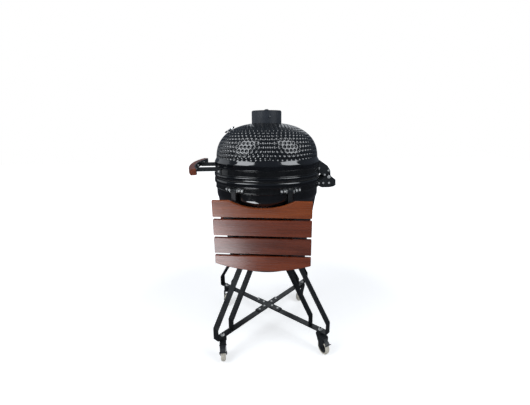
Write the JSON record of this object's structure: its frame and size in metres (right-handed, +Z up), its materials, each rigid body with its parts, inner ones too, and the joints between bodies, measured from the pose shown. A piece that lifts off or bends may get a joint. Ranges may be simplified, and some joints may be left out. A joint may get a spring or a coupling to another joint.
{
  "type": "kamado ceramic grill",
  "caption": "Egg-shaped ceramic charcoal grill with a hinged lid, vent cap, draft door, folding slatted wooden side shelves and a flat-steel stand on swivel castors.",
  "frame": {"origin": "on the floor, under the bowl's axis", "axes": "+Z up along the bowl's axis, -X towards the lid's handle, +X towards the hinge, -Y towards the near shelf"},
  "size_m": [0.7549, 0.6399, 1.2372],
  "materials": {
    "glaze": "gloss",
    "refractory": "matte",
    "felt": "matte",
    "black_steel": "satin",
    "stand_steel": "satin",
    "cap_iron": "matte",
    "zinc": "satin",
    "spring_steel": "satin",
    "steel_rod": "satin",
    "grate_iron": "matte",
    "wood": "satin",
    "tread": "satin",
    "fork_steel": "satin",
    "bezel": "polished",
    "dial_face": "matte",
    "needle_red": "matte",
    "dial_glass": "polished"
  },
  "bodies": {
    "stand_and_bowl": {"brace_arms": "stand_steel", "brace_cross": "stand_steel", "stand_bolts": "zinc", "leg_outer": "stand_steel", "leg_inner": "stand_steel", "stand_hoop": "stand_steel", "stand_ring": "stand_steel", "castor_stems": "zinc", "castor_nuts": "zinc", "base_bowl": "glaze", "base_gasket": "felt", "base_band": "black_steel", "base_bolts": "zinc", "fire_box": "refractory", "fire_ring": "refractory", "charcoal_grate": "grate_iron", "cooking_grate": "steel_rod", "draft_frame": "black_steel", "hinge_base": "black_steel", "hinge_pin": "zinc", "hinge_springs": "spring_steel", "shelf_brackets": "black_steel", "shelf_pins": "zinc"},
    "lid": {"lid_dome": "glaze", "lid_gasket": "felt", "lid_band": "black_steel", "lid_bolts": "zinc", "vent_cap": "cap_iron", "vent_knob": "cap_iron", "vent_screw": "spring_steel", "handle_frame": "black_steel", "handle_bar": "black_steel", "handle_grip": "wood", "hinge_lid": "black_steel", "thermo_case": "bezel", "thermo_dial": "dial_face", "thermo_glass": "dial_glass"},
    "shutter": {"vent_shutter": "cap_iron"},
    "needle": {"thermo_needle": "needle_red"},
    "door": {"draft_door": "steel_rod"},
    "near_shelf": {"near_slat_top": "wood", "near_slats_mid": "wood", "near_slat_end": "wood", "near_arms": "black_steel", "near_screws": "spring_steel"},
    "far_shelf": {"far_slat_top": "wood", "far_slats_mid": "wood", "far_slat_end": "wood", "far_arms": "black_steel", "far_screws": "spring_steel"},
    "castor_1": {"fork_1": "fork_steel"},
    "roller_1": {"wheel_1": "tread"},
    "brake_1": {"pedal_1": "fork_steel"},
    "castor_2": {"fork_2": "fork_steel"},
    "roller_2": {"wheel_2": "tread"},
    "brake_2": {"pedal_2": "fork_steel"},
    "castor_3": {"fork_3": "fork_steel"},
    "roller_3": {"wheel_3": "tread"},
    "castor_4": {"fork_4": "fork_steel"},
    "roller_4": {"wheel_4": "tread"}
  },
  "joints": [
    {"name": "lid_hinge", "type": "hinge", "parent": "stand_and_bowl", "child": "lid", "pos_m": [0.322, 0, 0.892], "axis": [0, 1, 0], "range_deg": [0, 70]},
    {"name": "shutter_turn", "type": "hinge", "parent": "lid", "child": "shutter", "pos_m": [0, 0, 1.22], "axis": [0, 0, 1], "range_deg": [0, 36]},
    {"name": "needle_turn", "type": "hinge", "parent": "lid", "child": "needle", "pos_m": [-0.19158, 0, 1.13932], "axis": [0.5149, 0, -0.8573], "range_deg": [0, 270]},
    {"name": "draft_slide", "type": "hinge", "parent": "stand_and_bowl", "child": "door", "pos_m": [0, 0, 0.506], "axis": [0, 0, -1], "range_deg": [0, 36]},
    {"name": "near_shelf_fold", "type": "hinge", "parent": "stand_and_bowl", "child": "near_shelf", "pos_m": [-0.04445, -0.25211, 0.863], "axis": [-0.9848, 0.1736, 0], "range_deg": [0, 93]},
    {"name": "far_shelf_fold", "type": "hinge", "parent": "stand_and_bowl", "child": "far_shelf", "pos_m": [-0.04445, 0.25211, 0.863], "axis": [0.9848, 0.1736, 0], "range_deg": [0, 93]},
    {"name": "castor_1_swivel", "type": "hinge", "parent": "stand_and_bowl", "child": "castor_1", "pos_m": [-0.25314, -0.25314, 0.1], "axis": [0, 0, 1], "continuous": true},
    {"name": "wheel_1_spin", "type": "hinge", "parent": "castor_1", "child": "roller_1", "pos_m": [-0.25105, -0.28307, 0.038], "axis": [0.9976, 0.0698, 0], "continuous": true},
    {"name": "pedal_1_lift", "type": "hinge", "parent": "castor_1", "child": "brake_1", "pos_m": [-0.25077, -0.28706, 0.088], "axis": [-0.9976, -0.0698, 0], "range_deg": [0, 14]},
    {"name": "castor_2_swivel", "type": "hinge", "parent": "stand_and_bowl", "child": "castor_2", "pos_m": [0.25314, -0.25314, 0.1], "axis": [0, 0, 1], "continuous": true},
    {"name": "wheel_2_spin", "type": "hinge", "parent": "castor_2", "child": "roller_2", "pos_m": [0.26582, -0.28033, 0.038], "axis": [0.9063, 0.4226, 0], "continuous": true},
    {"name": "pedal_2_lift", "type": "hinge", "parent": "castor_2", "child": "brake_2", "pos_m": [0.26751, -0.28396, 0.088], "axis": [-0.9063, -0.4226, 0], "range_deg": [0, 14]},
    {"name": "castor_3_swivel", "type": "hinge", "parent": "stand_and_bowl", "child": "castor_3", "pos_m": [0.25314, 0.25314, 0.1], "axis": [0, 0, 1], "continuous": true},
    {"name": "wheel_3_spin", "type": "hinge", "parent": "castor_3", "child": "roller_3", "pos_m": [0.23509, 0.22918, 0.038], "axis": [0.7986, -0.6018, 0], "continuous": true},
    {"name": "castor_4_swivel", "type": "hinge", "parent": "stand_and_bowl", "child": "castor_4", "pos_m": [-0.25314, 0.25314, 0.1], "axis": [0, 0, 1], "continuous": true},
    {"name": "wheel_4_spin", "type": "hinge", "parent": "castor_4", "child": "roller_4", "pos_m": [-0.25576, 0.22326, 0.038], "axis": [0.9962, -0.0872, 0], "continuous": true}
  ]
}
